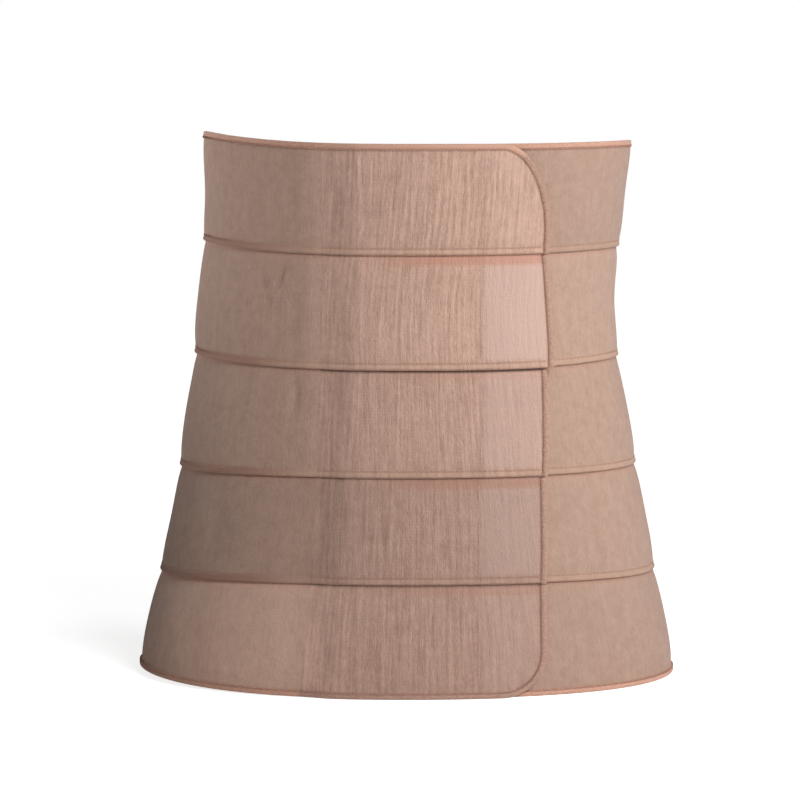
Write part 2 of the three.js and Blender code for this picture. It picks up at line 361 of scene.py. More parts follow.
# %% [markdown]
# ## The elastic cloth
# Plush woven elastic is matt, with a soft bright rim where its loops catch the light from the side, so it is
# rough with some sheen. Its colours and bump follow a coordinate in metres, along the band and up it. Every
# sheet carries it as an attribute, so the pattern bends round the body with the cloth.
#
# Flecks are single loops of pile, about a millimetre across. Mottling is the heathered look of the yarn, at
# about a centimetre. Streaks run up the band where the rubber threads pull it into ribs. The three move the
# colour between a light and a dark tone. Flecks, streaks and the fine grid of the weave lift the bump. A
# second attribute holds the shares of three zones, the reddish selvage, the pile pressed flat over the hook
# tape and the warmer hem where two layers lie on each other, and a tone that multiplies the colour. The tone
# holds each piece's own tone with painted light and shade: painted shadow under the seams, and painted
# light and shade across the front and near the join.

# %% Patterns on the cloth coordinate
FLECK = {"along": 760, "up": 330, "detail": 2.0, "low": 0.35, "high": 0.68}
MOTTLE = {"along": 150, "up": 130, "detail": 3.0, "low": 0.3, "high": 0.7}
STREAK = {"along": 420, "up": 22, "detail": 3.0, "low": 0.36, "high": 0.66}


def cloth_vector(tree, along, up):
    """The cloth coordinate, with a number of repeats to a metre along the band and up it."""
    cloth = add_node(tree, "ShaderNodeAttribute", attribute_name="cloth").outputs["Vector"]
    inputs = {0: cloth, 1: (along, up, 1.0)}
    return add_node(tree, "ShaderNodeVectorMath", inputs, operation="MULTIPLY").outputs[0]


def pattern(tree, along, up, detail, low, high):
    """Noise on the cloth coordinate, spread out between two of its values."""
    inputs = {"Vector": cloth_vector(tree, along, up), "Scale": 1.0, "Detail": detail}
    noise = add_node(tree, "ShaderNodeTexNoise", inputs).outputs["Fac"]
    return spread_out(tree, noise, low, high)


def add_bump(tree, shader, height, distance):
    """A bump on a shader, from the socket of its height."""
    bump = add_node(tree, "ShaderNodeBump", {"Height": height, "Strength": 0.6, "Distance": distance})
    tree.links.new(bump.outputs["Normal"], shader.inputs["Normal"])


# %% Woven elastic
RIB_PITCH = 0.0012
WEFT_PITCH = 0.0010
FLECK_SHARE, MOTTLE_SHARE = 0.24, 0.34
WEAVE_LIFT, FLECK_LIFT, STREAK_LIFT = 0.12, 0.8, 1.5
CLOTH_BUMP = 0.0004
SELVAGE_COLOUR = (0.58, 0.30, 0.22, 1)
PRESSED_COLOUR = (0.65, 0.45, 0.375, 1)
HEM_COLOUR = (0.60, 0.38, 0.265, 1)
PLUSH = {
    "Roughness": 0.9,
    "Specular IOR Level": 0.15,
    "Sheen Weight": 0.22,
    "Sheen Roughness": 0.4,
    "Sheen Tint": (0.93, 0.96, 1.0, 1),
}


def elastic_cloth(name, light_tone, dark_tone, streak_share):
    """Plush woven elastic in two tones, with streaks of a given share."""
    material, shader = new_material(name, PLUSH)
    tree = material.node_tree
    fleck = pattern(tree, **FLECK)
    mottle = pattern(tree, **MOTTLE)
    streak = pattern(tree, **STREAK)
    shade = sum_of(tree, times(tree, fleck, FLECK_SHARE), times(tree, mottle, MOTTLE_SHARE))
    shade = sum_of(tree, shade, times(tree, streak, streak_share))
    colour = mix_colour(tree, shade, light_tone, dark_tone)

    zones = add_node(tree, "ShaderNodeAttribute", attribute_name="zones")
    zone = add_node(tree, "ShaderNodeSeparateColor", {"Color": zones.outputs["Color"]})
    colour = mix_colour(tree, zone.outputs["Blue"], colour, HEM_COLOUR)
    colour = mix_colour(tree, zone.outputs["Green"], colour, PRESSED_COLOUR)
    colour = mix_colour(tree, zone.outputs["Red"], colour, SELVAGE_COLOUR)
    # The colour is multiplied by the tone, which holds painted light and shade.
    tree.links.new(scaled(tree, colour, zones.outputs["Alpha"]), shader.inputs["Base Color"])

    cloth = add_node(tree, "ShaderNodeSeparateXYZ", {0: cloth_vector(tree, 1.0, 1.0)})
    ribs_wave = calculate(tree, "SINE", times(tree, cloth.outputs[0], 2 * np.pi / RIB_PITCH))
    weft_wave = calculate(tree, "SINE", times(tree, cloth.outputs[1], 2 * np.pi / WEFT_PITCH))
    weave = times(tree, sum_of(tree, ribs_wave, weft_wave), WEAVE_LIFT)
    height = sum_of(tree, weave, times(tree, fleck, FLECK_LIFT))
    height = sum_of(tree, height, times(tree, streak, STREAK_LIFT * streak_share))
    add_bump(tree, shader, height, CLOTH_BUMP)
    return material


band_cloth = elastic_cloth("band_cloth", (0.575, 0.387, 0.305, 1), (0.42, 0.265, 0.2, 1), 0.16)
flap_cloth = elastic_cloth("flap_cloth", (0.72, 0.47, 0.377, 1), (0.475, 0.295, 0.225, 1), 0.5)

# %% [markdown]
# Tape, thread and hooks are a plainer matt fibre with a fine grain. The front panels' edging is brown down
# the free end, and reddish along the top like the band's binding.

# %% Tape, thread and hook tape
TOP_TAPE_STARTS, TOP_TAPE_FULL = 0.371, 0.375
FIBRE = {"Roughness": 0.85, "Specular IOR Level": 0.2, "Sheen Weight": 0.15}
TAPE_GRAIN = {"repeats": 700, "bump": 0.0003}
THREAD_GRAIN = {"repeats": 1500, "bump": 0.0001}
HOOK_GRAIN = {"repeats": 700, "bump": 0.0006}


def plain_fibre(name, light_tone, dark_tone, repeats, bump, top_tone=None):
    """A matt fibre with a fine grain. At the binder's top it may have its own tone."""
    material, shader = new_material(name, FIBRE)
    tree = material.node_tree
    own = add_node(tree, "ShaderNodeTexCoord").outputs["Object"]
    inputs = {"Vector": own, "Scale": repeats, "Detail": 3.0}
    noise = add_node(tree, "ShaderNodeTexNoise", inputs).outputs["Fac"]
    colour = mix_colour(tree, spread_out(tree, noise, 0.35, 0.65), light_tone, dark_tone)
    if top_tone:
        height = add_node(tree, "ShaderNodeSeparateXYZ", {0: own}).outputs[2]
        colour = mix_colour(tree, spread_out(tree, height, TOP_TAPE_STARTS, TOP_TAPE_FULL), colour, top_tone)
    tree.links.new(colour, shader.inputs["Base Color"])
    add_bump(tree, shader, noise, bump)
    return material


TAPE_TONE = (0.70, 0.41, 0.305, 1)
edge_tape = plain_fibre("edge_tape", TAPE_TONE, (0.58, 0.32, 0.235, 1), **TAPE_GRAIN)
flap_tape = plain_fibre(
    "flap_tape", (0.56, 0.35, 0.27, 1), (0.43, 0.255, 0.195, 1), **TAPE_GRAIN, top_tone=TAPE_TONE
)
edge_thread = plain_fibre("edge_thread", (0.52, 0.30, 0.22, 1), (0.42, 0.23, 0.17, 1), **THREAD_GRAIN)
seam_thread = plain_fibre("seam_thread", (0.44, 0.26, 0.19, 1), (0.34, 0.19, 0.14, 1), **THREAD_GRAIN)
band_thread = plain_fibre("band_thread", (0.54, 0.35, 0.27, 1), (0.44, 0.28, 0.21, 1), **THREAD_GRAIN)
hook_thread = plain_fibre("hook_thread", (0.63, 0.45, 0.37, 1), (0.55, 0.38, 0.31, 1), **THREAD_GRAIN)
hook_fibre = plain_fibre("hook_fibre", (0.62, 0.46, 0.38, 1), (0.52, 0.37, 0.30, 1), **HOOK_GRAIN)
print("materials:", [m.name for m in bpy.data.materials])

# %% [markdown]
# ## Relief of the cloth
# Stretched elastic has faint ribs where its rubber threads pull, broad slow waves, and a few puckers near the
# seams. The ribs and waves are sums of sines with fixed offsets, and the puckers are rows of a small table.
# The relief fades out at the seams, where two layers lie on each other.

# %% Length along the cloth
TURNS = np.linspace(-np.pi / 2, 2.5 * np.pi, 2000)


def length_along(number, turn):
    """Length along a band from the front's middle to a turn, measured half-way up the band."""
    middle = 0.5 * (edge_height(number, TURNS) + edge_height(number - 1, TURNS))
    points = place(TURNS, middle, 0 * TURNS)
    lengths = np.concatenate([[0], np.cumsum(np.linalg.norm(np.diff(points, axis=0), axis=1))])
    return np.interp(turn, TURNS, lengths - np.interp(0, TURNS, lengths))


print("band 5 is", round(float(length_along(5, 2 * np.pi)), 3), "m round")

# %% [markdown]
# A row of the pucker table holds the band, the turn in degrees, the share of the way up, the pucker's width,
# height and depth, and how far it leans.

# %% Ribs, waves and puckers
offsets = np.random.default_rng(7).uniform(0, 2 * np.pi, 12)

SEAM_CALM = 0.12
PUCKERS = [
    (2, -42.0, 0.70, 0.0040, 0.015, 0.0022, -0.3),
    (2, -37.5, 0.70, 0.0040, 0.015, 0.0022, 0.3),
    (2, -31.0, 0.45, 0.006, 0.020, 0.0012, 0.1),
    (3, -30.0, 0.74, 0.0035, 0.011, 0.0020, 0.0),
    (2, 76.0, 0.6, 0.0035, 0.024, 0.0018, 0.1),
    (4, -52.0, 0.5, 0.010, 0.030, 0.0010, 0.1),
    (1, 62.0, 0.35, 0.012, 0.028, 0.0010, -0.5),
    (3, 140.0, 0.4, 0.006, 0.022, 0.0014, 0.2),
    (4, 205.0, 0.6, 0.006, 0.024, 0.0014, -0.2),
    (2, 175.0, 0.6, 0.005, 0.020, 0.0013, 0.3),
]


def ribs(along, up, pitch):
    """Uneven ribs up the cloth, between -1 and 1."""
    wander = 0.25 * np.sin(up * 95 + offsets[0]) + 0.15 * np.sin(up * 210 + along * 40 + offsets[1])
    first = np.sin(2 * np.pi * along / pitch + wander * 3 + 1.2 * np.sin(along * 160 + offsets[2]))
    second = np.sin(2 * np.pi * along / (pitch * 1.73) + 2.1 * np.sin(along * 90 + up * 60 + offsets[3]))
    fading = np.sin(along * 70 + up * 35 + offsets[4]) * np.sin(up * 120 + along * 25 + offsets[5])
    return (0.65 * first + 0.35 * second) * (0.55 + 0.45 * fading)


def slow_waves(along, up):
    """Broad low waves, between about -1 and 1."""
    broad = 0.5 * np.sin(along * 130 + up * 20 + offsets[6]) + 0.3 * np.sin(along * 75 - up * 45 + offsets[7])
    return broad + 0.2 * np.sin(along * 210 + up * 80 + offsets[8])


def puckers(number, turn, z):
    """Depth of the puckers of a band at a point."""
    depth = 0 * turn
    lower, upper = seams(number, turn)
    right, back = run_at(turn, z)
    for _, degrees, share, wide, tall, deep, lean in (row for row in PUCKERS if row[0] == number):
        rise = z - lower - share * (upper - lower)
        away = np.mod(turn - np.radians(degrees) + np.pi, 2 * np.pi) - np.pi
        side = away * np.hypot(right, back) - lean * rise
        depth = depth + deep * np.exp(-((side / wide) ** 2) - (rise / tall) ** 2)
    return depth


def relief(number, turn, z, rib_pitch, rib_height, wave_height):
    """How far the cloth stands off its smooth form, nought at the seams."""
    climb = climb_at(number, turn, z)
    calm = smooth(climb / SEAM_CALM) * smooth((1 - climb) / SEAM_CALM)
    along = length_along(number, turn)
    height = rib_height * ribs(along, z, rib_pitch) + wave_height * slow_waves(along, z)
    return calm * (height - puckers(number, turn, z))


# %% [markdown]
# ## Bands and front panels as sheets
# A band is a grid of points, repeated for its inner and its outer face and closed round its edges. The rows
# lie closer at both edges. At the lower one the cloth rolls over in a soft bead, and a groove above the bead
# marks the line of stitches. Stretched elastic holds one smooth form, so the sheets are modelled directly: a
# cloth simulation would have nothing to move.

# %% Sheet mesh
SHARP_EDGE = np.radians(55)
FINE_ROW = 0.0004
ROW_REACH = 0.010


def sheet_faces(columns, rows):
    """Faces of a closed sheet: the outer grid, the inner grid and the rim round them."""
    size = columns * rows
    grid = np.arange(size).reshape(columns, rows)
    a, b, c, d = grid[:-1, :-1], grid[1:, :-1], grid[1:, 1:], grid[:-1, 1:]
    outer = np.stack([a, b, c, d], -1).reshape(-1, 4)
    inner = outer[:, ::-1] + size
    loop = np.concatenate([grid[:, 0], grid[-1, 1:], grid[-2::-1, -1], grid[0, -2:0:-1]])
    after = np.roll(loop, -1)
    rim = np.stack([loop, loop + size, after + size, after], -1)
    return np.concatenate([outer, inner, rim]).tolist()


def add_attribute(mesh, key, values):
    """Writes an attribute: three numbers or a colour for each point."""
    kind, field = ("FLOAT_VECTOR", "vector") if values.shape[-1] == 3 else ("FLOAT_COLOR", "color")
    attribute = mesh.attributes.new(key, kind, "POINT")
    attribute.data.foreach_set(field, values.astype(np.float32).ravel())


def close_at_ends(length, coarse):
    """Shares of a length, in fine steps near both ends that grow to coarse ones."""
    steps = [0.0]
    while steps[-1] < length:
        near = min(steps[-1], max(length - steps[-1], 0))
        steps.append(steps[-1] + FINE_ROW + (coarse - FINE_ROW) * min(near / ROW_REACH, 1))
    return np.array(steps) / steps[-1]


# %% Thickness of the cloth
ROLL = 0.0012
THINNEST = 0.05
BEAD, BEAD_AT, BEAD_WIDTH = 0.0007, 0.0017, 0.0010
GROOVE, STITCH_RISE, GROOVE_WIDTH = 0.0005, 0.0046, 0.0013


def wall_at(number, turn, z, fade=1.0):
    """Thickness of the cloth: it rolls over at its lower edge in a bead, with a groove at the stitches."""
    above = z - edge_height(number, turn)
    if number == BAND_COUNT:
        return CLOTH_WALL + 0 * above
    roll = np.sqrt(np.clip(1 - (1 - np.clip(above / ROLL, 0, 1)) ** 2, THINNEST, 1))
    bead = BEAD * np.exp(-(((above - BEAD_AT) / BEAD_WIDTH) ** 2))
    groove = GROOVE * np.exp(-(((above - STITCH_RISE) / GROOVE_WIDTH) ** 2))
    return CLOTH_WALL * roll + fade * (bead - groove)


def band_span(number, turn):
    """Lowest and highest height of a band's cloth at a turn."""
    lower = edge_height(number, turn) + (TUCK if number == BAND_COUNT else 0)
    upper = edge_height(number - 1, turn) + (-TUCK if number == 1 else LAP)
    return lower, upper


def height_at(number, rows):
    """The function that gives the heights of a band's rows at a turn."""
    def heights(turn):
        lowest, highest = band_span(number, turn)
        return lowest + rows * (highest - lowest)
    return heights


def make_cloth(name, number, heights, ends, columns, face, zones, grain_shift, material):
    """The closed sheet of a band or front panel, its mean width, and the lengths along it."""
    start, end = ends
    turn = start + (end - start) * np.linspace(0, 1, columns)[:, None]
    z = heights(turn)
    points = np.concatenate([place(turn, z, off).reshape(-1, 3) for off in face(number, turn, z)])
    mesh = bpy.data.meshes.new(name)
    mesh.from_pydata(points.tolist(), [], sheet_faces(*z.shape))
    mesh.validate()
    mesh.shade_smooth()
    mesh.set_sharp_from_angle(angle=SHARP_EDGE)
    mesh.materials.append(material)
    along = length_along(number, turn)
    cloth = np.stack([along, z, grain_shift + 0 * z], -1)
    add_attribute(mesh, "cloth", np.tile(cloth.reshape(-1, 3), (2, 1)))
    add_attribute(mesh, "zones", np.tile(zones(number, turn, z).reshape(-1, 4), (2, 1)))
    return new_object(name, mesh), float(np.mean(z[:, -1] - z[:, 0])), along


# %% [markdown]
# ## Make the bands
# A band runs from its hidden end under the front panels, round the body, to the join. There it meets its
# front panel edge to edge, so the relief fades out and only the tone changes. Each band has its own tone, a
# little lighter or darker than the next, with painted light and shade mixed into it.

# %% Surface of a band
BAND_COLUMNS = 370
BAND_ROW = 0.0021
BAND_RIBS = {"rib_pitch": 0.0105, "rib_height": 0.00014, "wave_height": 0.00035}
BAND_BEAD_SHARE = 0.5
JOIN_GAP = 0.00004
JOIN_CALM = 0.012


def band_ends(heights):
    """Turns at which a band's rows start and end. Heights depend on turns, so it takes a few passes."""
    start, end = 0 * heights(0.0), 0 * heights(0.0)
    for _ in range(3):
        start = turn_at(RAMP - join_at(heights(start)) + CLEARANCE, heights(start), 0)
        end = turn_at(-join_at(heights(end)) - JOIN_GAP, heights(end), 0)
    return start, 2 * np.pi + end


def clear_of_join(number, turn, z, reach=JOIN_CALM):
    """Nought at the join, where a band and its front panel meet, and one beyond a reach."""
    join = length_along(number, turn_at(-join_at(z), z, 0))
    wrapped = np.where(turn > np.pi, turn - 2 * np.pi, turn)
    return smooth(np.abs(length_along(number, wrapped) - join) / reach)


def band_face(number, turn, z):
    """How far a band's outer face lies off the tube's inside, and its inner face."""
    calm = clear_of_join(number, turn, z)
    inner = layer(number, turn, z) + calm * relief(number, turn, z, **BAND_RIBS)
    bead_share = 1 - (1 - BAND_BEAD_SHARE) * calm
    return inner + wall_at(number, turn, z, bead_share), inner


# %% [markdown]
# The painted shares of a band: strips along its seams, a hem on the left side that is redder with the
# selvage's colour and darker with painted shade, and a tone. The tone is the band's own with painted light
# and shade in it: it changes from the left side to the right one, near the join it is painted paler on the
# upper bands and a little darker on the lower ones, and a painted shadow darkens it under the seam above.

# %% Colours of a band
HEM_REACH, HEM_BORDER, BAND_HEM = 0.0066, 0.0020, 0.35
# The left hem's start, its red share, and the depth of its painted shade.
LEFT_HEM_FROM, LEFT_HEM_BORDER, LEFT_HEM_RED, LEFT_HEM_SHADE = 0.072, 0.045, 0.6, 0.25
SELVAGE_REACH, SELVAGE_BORDER, SELVAGE_SHARE = 0.0032, 0.0015, 0.45
# Depth, reach and border of the painted shadow under the seam above a band.
SHADE_DEPTH, SHADE_REACH, SHADE_BORDER = 0.2, 0.0012, 0.0008
# Each band's tone on its left side and on its right: its own tone with painted light and shade in it.
LEFT_TONES_AND_SHADE = [0.93, 0.96, 0.94, 0.89, 1.26]
RIGHT_TONES_AND_SHADE = [0.91, 1.01, 0.98, 0.96, 0.93]
SIDES_FROM, SIDES_BORDER = -0.05, 0.15
# How much paler each band is painted near the join: a painted highlight on the upper three, a little painted
# shade on the lowest two.
PALER_AT_JOIN, PALER_REACH = [0.2, 0.2, 0.12, -0.03, -0.06], 0.018


def strip(distance, reach, border):
    """Share of a strip along an edge: one at the edge, and nought at its reach."""
    return smooth((reach - distance) / border)


def hem_zone(number, turn, z, share):
    """Share of the warm hem tone, above each lower edge but the lowest."""
    above = z - edge_height(number, turn)
    return strip(above, HEM_REACH, HEM_BORDER) * (0.0 if number == BAND_COUNT else share)


def left_hem(number, turn, z, share):
    """Share of the left side's hem, redder with the selvage's colour and darker with painted shade. It fades
    out towards the join.
    """
    return hem_zone(number, turn, z, share) * smooth((-across(turn, z) - LEFT_HEM_FROM) / LEFT_HEM_BORDER)


def seam_shade(number, turn, z, depth, reach):
    """The painted shadow under the seam above, where the cloth is darker by a depth down to a reach."""
    return 1 - depth * strip(edge_height(number - 1, turn) - z, reach, SHADE_BORDER)


def band_zones(number, turn, z):
    """Selvage, pressed pile, hem and tone of a band. The tone holds painted light and shade."""
    below = edge_height(number - 1, turn) - z
    under_seam = strip(below, SELVAGE_REACH, SELVAGE_BORDER) * (0.0 if number == 1 else SELVAGE_SHARE)
    selvage = under_seam + left_hem(number, turn, z, LEFT_HEM_RED)
    # The tone goes from the left side's to the right side's: painted light and shade across the front.
    left, right = LEFT_TONES_AND_SHADE[number - 1], RIGHT_TONES_AND_SHADE[number - 1]
    side = left + (right - left) * smooth((across(turn, z) - SIDES_FROM) / SIDES_BORDER)
    # Painted highlight and shade near the join.
    at_join = 1 + PALER_AT_JOIN[number - 1] * (1 - clear_of_join(number, turn, z, PALER_REACH))
    # The left hem is darkened by painted shade.
    shaded_tone = side * at_join * (1 - left_hem(number, turn, z, LEFT_HEM_SHADE))
    # Painted shadow under the seam above.
    shade = seam_shade(number, turn, z, 0.0 if number == 1 else SHADE_DEPTH, SHADE_REACH)
    return np.stack([selvage, 0 * z, hem_zone(number, turn, z, BAND_HEM), shaded_tone * shade], -1)


for number in NUMBERS:
    heights = height_at(number, close_at_ends(HEIGHT / BAND_COUNT, BAND_ROW))
    layout = (heights, band_ends(heights), BAND_COLUMNS, band_face, band_zones, 0.1 * number, band_cloth)
    piece, width, along = make_cloth(f"band_cloth_{number}", number, *layout)
    length = float(np.mean(along[-1] - along[0]))
    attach(piece, "root")
    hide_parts(f"band_{number}")
    print(piece.name, "is", round(width, 4), "m wide and", round(length, 4), "m long")

# %% [markdown]
# ## Make the front panels
# The front panels go on from the bands at the join and climb over the hidden end of the tube. Their free end
# is cut with two rounded corners, where an ellipse says how far a row goes. The pile is pressed on the hook
# tape there, which shows as a smoother, paler zone with a straight inner edge.

# %% Outline of a front panel
FREE_END_TURN = 0.6
FLAP_ROW = 0.0018
ARC_ROWS = 36
ROWS_APART = 0.0003


def corner_inset(corner, margin, distance):
    """How far a rounded corner draws the end in, at a distance from the corner's outer edge."""
    tall, wide = corner["tall"] - margin, corner["wide"] - margin
    sine = np.clip(1 - distance / tall, 0, 1)
    return np.where(distance < tall, wide * (1 - np.sqrt(1 - sine**2)), 0)


def free_end(number, turn, z, margin):
    """Distance of a front panel's end from the middle of the front, drawn in by a margin."""
    lower, upper = seams(number, turn)
    low_reach, high_reach = REACHES["lower"][number - 1], REACHES["upper"][number - 1]
    end = WAIST_WIDTH * (low_reach + climb_at(number, turn, z, 0) * (high_reach - low_reach)) - margin
    if number == 1:
        end = end - corner_inset(UPPER_CORNER, margin, np.maximum(upper - margin - z, 0))
    if number == BAND_COUNT:
        end = end - corner_inset(LOWER_CORNER, margin, np.maximum(z - lower - margin, 0))
    return end


def flap_ends(number, heights, margin):
    """Turns at which a front panel's rows start and end. Under the panel above it is cut back."""
    start, end = 0 * heights(0.0), 0 * heights(0.0) + FREE_END_TURN
    for _ in range(4):
        start = turn_at(JOIN_GAP - join_at(heights(start)), heights(start), 0)
        z = heights(end)
        hidden = (z >= edge_height(number - 1, end) - 1e-6) & (number > 1)
        cut_back = np.where(hidden, BINDING_WIDTH + CLEARANCE, 0)
        end = turn_at(free_end(number, end, z, margin) - cut_back, z, FLAP_RISE)
    return start, end


def flap_rows(number):
    """Shares of the way up a front panel: even rows, and closer ones round a corner and at the seam above."""
    lowest, highest = band_span(number, FREE_END_TURN)
    height = float(highest - lowest)
    special = [0.0, height]
    arc = 1 - np.sin(np.linspace(0, np.pi / 2, ARC_ROWS))
    if number == 1:
        special += list(height - (UPPER_CORNER["tall"] - TUCK) * arc)
    if number == BAND_COUNT:
        special += list((LOWER_CORNER["tall"] - TUCK) * arc)
    if number > 1:
        special += [height - LAP - CLEARANCE, height - LAP]
    special = np.unique(np.round(special, 7))
    even = close_at_ends(height, FLAP_ROW) * height
    apart = np.abs(even[:, None] - special[None, :]).min(axis=1)
    return np.sort(np.concatenate([special, even[apart > ROWS_APART]])) / height


# %% Surface of a front panel
FLAP_COLUMNS = 150
FLAP_RIB_PITCH = 0.0046
RIB_HEIGHTS = [0.00036, 0.00020, 0.00015, 0.00014, 0.00012]
FLAP_WAVES = 0.00018
EDGE_CALM = 0.004
OVER_HOOKS, HOOK_STEP = 0.0003, 0.004
PRESSED_MARGIN = 0.009

hook_starts = []
for number in NUMBERS:
    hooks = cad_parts[f"hook_tape_{number}"]
    left_end = min((hooks.matrix_world @ vertex.co).x for vertex in hooks.data.vertices)
    hook_starts.append(left_end - PRESSED_MARGIN)
print("pile is pressed from:", [round(start, 4) for start in hook_starts])


def flap_face(number, turn, z):
    """How far a front panel's outer face lies off the tube's inside, and its inner face."""
    x = across(turn, z, FLAP_RISE)
    edge_calm = smooth((free_end(number, turn, z, 0) - x - BINDING_WIDTH) / EDGE_CALM)
    calm = edge_calm * clear_of_join(number, turn, z)
    bumps = relief(number, turn, z, FLAP_RIB_PITCH, RIB_HEIGHTS[number - 1], FLAP_WAVES)
    inner = flap_layer(number, turn, z) + calm * bumps
    over_hooks = OVER_HOOKS * smooth((x - hook_starts[number - 1]) / HOOK_STEP)
    return inner + wall_at(number, turn, z, edge_calm) + edge_calm * over_hooks, inner


# %% Colours of a front panel
STRIP_REACH, STRIP_BORDER, STRIP_FROM, STRIP_FADE = 0.0080, 0.0016, -0.04, 0.06
SELVAGE_STRIP = [0.0, 0.8, 0.2, 0.6, 0.35]
PRESSED, PRESSED_BORDER = [0.15, 0.85, 0.6, 0.7, 0.3], 0.006
ABOVE_HEM, ABOVE_HEM_BORDER, FLAP_HEM = 0.005, 0.003, 0.28
# Each front panel's tone: its own with painted shade in it, darker on the lower panels.
FLAP_TONES_AND_SHADE = [1.04, 1.05, 0.96, 0.82, 0.85]
# How much each front panel's tone changes near the join: painted light on the lowest panel, a little painted
# shade on two others.
FLAP_AT_JOIN, FLAP_JOIN_REACH = [-0.03, 0.0, 0.0, -0.04, 0.3], 0.045
# Depth and reach of the painted shadow under the seam above each front panel, deepest under the lifted panel.
SEAM_SHADES = [(0.0, 0.001), (0.15, 0.0010), (0.45, 0.0024), (0.25, 0.0014), (0.3, 0.0016)]


def flap_zones(number, turn, z):
    """Selvage, pressed pile, hem and tone of a front panel. The tone holds painted light and shade."""
    row = number - 1
    x = across(turn, z)
    under_seam = strip(edge_height(row, turn) - z, STRIP_REACH, STRIP_BORDER)
    selvage = under_seam * smooth((x - STRIP_FROM) / STRIP_FADE) * SELVAGE_STRIP[row]
    pressed = smooth((x - hook_starts[row]) / PRESSED_BORDER) * PRESSED[row]
    above_hem = smooth((z - edge_height(number, turn) - ABOVE_HEM) / ABOVE_HEM_BORDER)
    # The panel's tone with painted shade, and the painted shadow under the seam above.
    tone = FLAP_TONES_AND_SHADE[row] * seam_shade(number, turn, z, *SEAM_SHADES[row])
    # Painted light and shade near the join.
    at_join = 1 + FLAP_AT_JOIN[row] * (1 - clear_of_join(number, turn, z, FLAP_JOIN_REACH))
    return np.stack([selvage, pressed * above_hem, hem_zone(number, turn, z, FLAP_HEM), at_join * tone], -1)


# %% Make the front panels
for number in NUMBERS:
    heights = height_at(number, flap_rows(number))
    ends = flap_ends(number, heights, TUCK)
    layout = (heights, ends, FLAP_COLUMNS, flap_face, flap_zones, 0.1 * number + 0.7, flap_cloth)
    piece, width, along = make_cloth(f"flap_cloth_{number}", number, *layout)
    length = float(along[-1].max() - along[0].min())
    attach(piece, "root")
    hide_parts(f"flap_{number}")
    print(piece.name, "is", round(width, 4), "m wide and", round(length, 4), "m long")

# %% [markdown]
# ## Bindings
# A narrow tape is folded over the top and bottom edges and over the free end of the front panels. It is one
# section, the fold, carried along a path, so Geometry Nodes make it: the path knows which way is out of the
# cloth, and Curve to Mesh turns the section with it.

# %% Stops along the edges
EDGE_STOPS = 400
CORNER_STOPS = 60
STRAIGHT_STOPS = 40
LEVEL_STOPS = 160


def band_edge(number):
    """Turns, heights and leans along a band's bound edge."""
    heights = height_at(number, 1.0 if number == 1 else 0.0)
    turn = np.linspace(*band_ends(heights), EDGE_STOPS)
    lean = np.full(EDGE_STOPS, np.pi / 2 if number == 1 else -np.pi / 2)
    stops = np.array([turn, heights(turn), lean])
    return stops if number == 1 else stops[:, ::-1]


def corner_stops(corner):
    """Heights and leans along a rounded corner, from its straight side to its level end."""
    angles = np.linspace(0, np.pi / 2, CORNER_STOPS)
    tall, wide = corner["tall"] - TUCK, corner["wide"] - TUCK
    return tall * (1 - np.sin(angles)), np.arctan2(np.sin(angles) / tall, np.cos(angles) / wide)


def flap_edge(number):
    """Turns, heights and leans down a front panel's bound outline, with its rounded corner."""
    lowest, highest = band_span(number, FREE_END_TURN)
    z = np.linspace(highest if number == 1 else highest - LAP - CLEARANCE, lowest, CORNER_STOPS)
    lean = np.zeros(CORNER_STOPS)
    upright = np.zeros(STRAIGHT_STOPS - 1)
    if number == 1:
        drop, corner_lean = corner_stops(UPPER_CORNER)
        straight = np.linspace(highest - drop[0], lowest, STRAIGHT_STOPS)[1:]
        z = np.concatenate([highest - drop[::-1], straight])
        lean = np.concatenate([corner_lean[::-1], upright])
    if number == BAND_COUNT:
        drop, corner_lean = corner_stops(LOWER_CORNER)
        straight = np.linspace(z[0], lowest + drop[0], STRAIGHT_STOPS)[:-1]
        z = np.concatenate([straight, lowest + drop])
        lean = np.concatenate([upright, -corner_lean])
    heights = height_at(number, (z - lowest) / (highest - lowest))
    start, end = flap_ends(number, heights, TUCK)
    stops = np.array([end, heights(end), lean])
    if number == 1:
        level = np.linspace(start[0], end[0], LEVEL_STOPS)[:-1]
        along_top = np.array([level, band_span(1, level)[1], 0 * level + np.pi / 2])
        return np.concatenate([along_top, stops], axis=1)
    if number == BAND_COUNT:
        level = np.linspace(end[-1], start[-1], LEVEL_STOPS)[1:]
        along_bottom = np.array([level, band_span(number, level)[0], 0 * level - np.pi / 2])
        return np.concatenate([stops, along_bottom], axis=1)
    return stops


def in_from_edge(stops, inward):
    """Turns and heights of the points that lie a distance in from an edge."""
    turn, z, lean = stops
    right, back = run_at(turn, z)
    return turn - inward * np.cos(lean) / np.hypot(right, back), z - inward * np.sin(lean)


print("stops along the first front panel:", flap_edge(1).shape[1])

# %% Paths for Geometry Nodes
FOLD_REACH = BINDING_WIDTH - TUCK


def path_object(name, points, inward, out):
    """A line of edges whose points know the way into the cloth and the way out of it."""
    mesh = bpy.data.meshes.new(name)
    mesh.from_pydata(points.tolist(), [(i, i + 1) for i in range(len(points) - 1)], [])
    add_attribute(mesh, "inward", inward)
    add_attribute(mesh, "out", out)
    return new_object(name, mesh)


def unit(vectors):
    return vectors / np.linalg.norm(vectors, axis=-1, keepdims=True)


def square_to(way, other):
    """A direction without its share along another one."""
    return unit(way - other * np.sum(way * other, axis=-1, keepdims=True))


